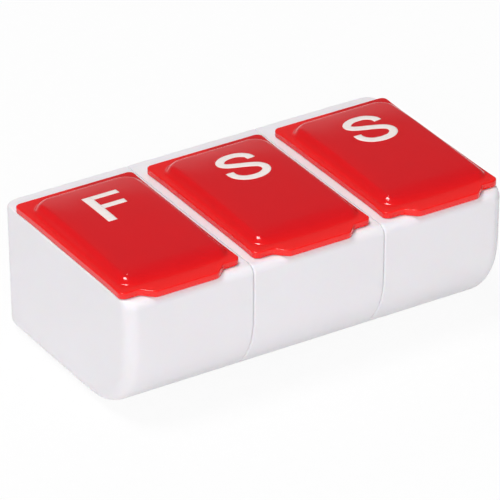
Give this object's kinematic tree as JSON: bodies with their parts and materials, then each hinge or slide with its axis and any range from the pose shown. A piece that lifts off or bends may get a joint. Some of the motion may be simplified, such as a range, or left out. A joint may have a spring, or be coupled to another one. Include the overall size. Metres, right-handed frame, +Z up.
{
  "type": "detachable pill organizer",
  "caption": "Row of small lift-off tubs for tablets, each with a scooped front and a back-hinged lid with a raised crowned panel and a front thumb tab.",
  "frame": {"origin": "centre of the overall bounding box, on the plane of the flat base", "axes": "+X along the row to the right, +Y to the hinge side at the back, +Z up"},
  "size_m": [0.0866, 0.0505, 0.0322],
  "materials": {
    "tub_white": "satin moulded polypropylene",
    "lid_red": "glossy moulded polypropylene",
    "pin_steel": "drawn wire"
  },
  "bodies": {
    "middle_module": {"saturday_tub": "tub_white", "saturday_hinge_pin": "pin_steel"},
    "left_module": {"friday_tub": "tub_white", "friday_hinge_pin": "pin_steel"},
    "right_module": {"sunday_tub": "tub_white", "sunday_hinge_pin": "pin_steel"},
    "left_lid": {"friday_lid": "lid_red"},
    "middle_lid": {"saturday_lid": "lid_red"},
    "right_lid": {"sunday_lid": "lid_red"}
  },
  "joints": [
    {"name": "left_module_lift", "type": "slide", "parent": "middle_module", "child": "left_module", "axis": [0, 0, 1], "range_m": [0, 0.024]},
    {"name": "right_module_lift", "type": "slide", "parent": "middle_module", "child": "right_module", "axis": [0, 0, 1], "range_m": [0, 0.024]},
    {"name": "left_lid_hinge", "type": "hinge", "parent": "left_module", "child": "left_lid", "pos_m": [-0.03, 0.021, 0.0282], "axis": [-1, 0, 0], "range_deg": [0, 105]},
    {"name": "middle_lid_hinge", "type": "hinge", "parent": "middle_module", "child": "middle_lid", "pos_m": [0, 0.021, 0.0282], "axis": [-1, 0, 0], "range_deg": [0, 105]},
    {"name": "right_lid_hinge", "type": "hinge", "parent": "right_module", "child": "right_lid", "pos_m": [0.03, 0.021, 0.0282], "axis": [-1, 0, 0], "range_deg": [0, 105]}
  ]
}
